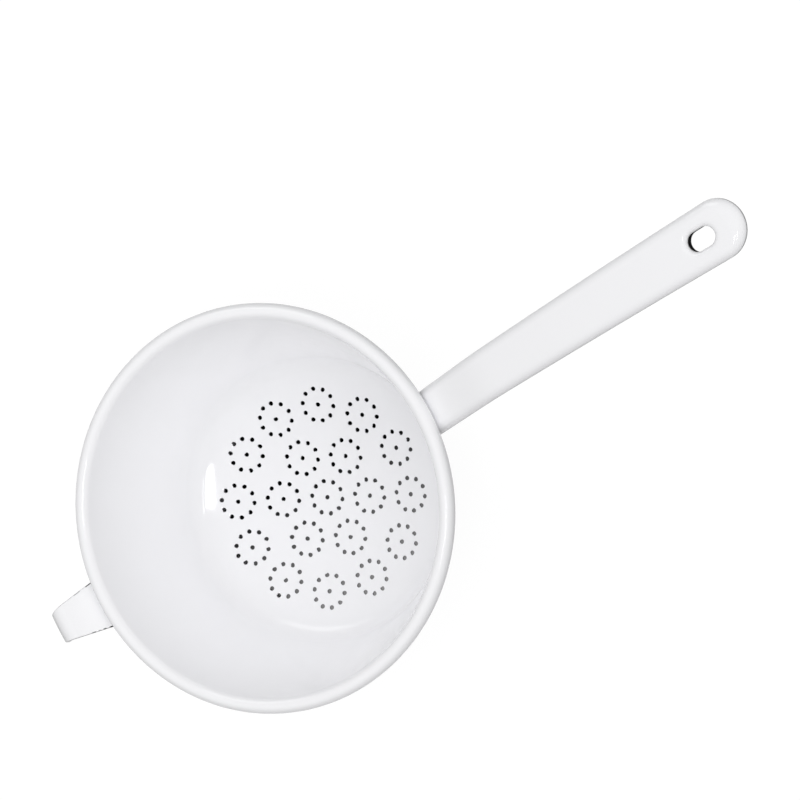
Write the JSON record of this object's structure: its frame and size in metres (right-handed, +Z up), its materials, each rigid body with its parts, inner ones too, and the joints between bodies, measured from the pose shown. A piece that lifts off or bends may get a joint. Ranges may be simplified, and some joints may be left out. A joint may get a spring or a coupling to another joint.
{
  "type": "strainer",
  "caption": "Round white enamelled strainer: deep bowl with rosettes of drain holes in a dished floor, rolled rim, foot ring, long hollow handle and a pot hook.",
  "frame": {"origin": "middle of the face that the foot ring stands on, on the bowl's axis", "axes": "+X along the handle, away from the bowl; +Z up, out of the open bowl"},
  "size_m": [0.4201, 0.2, 0.123],
  "materials": {
    "white_enamel": "glossy white vitreous enamel on pressed steel"
  },
  "bodies": {
    "root": {"bowl": "white_enamel", "foot_ring": "white_enamel", "handle_upper_shell": "white_enamel", "handle_lower_shell": "white_enamel", "pot_hook": "white_enamel"}
  },
  "joints": []
}
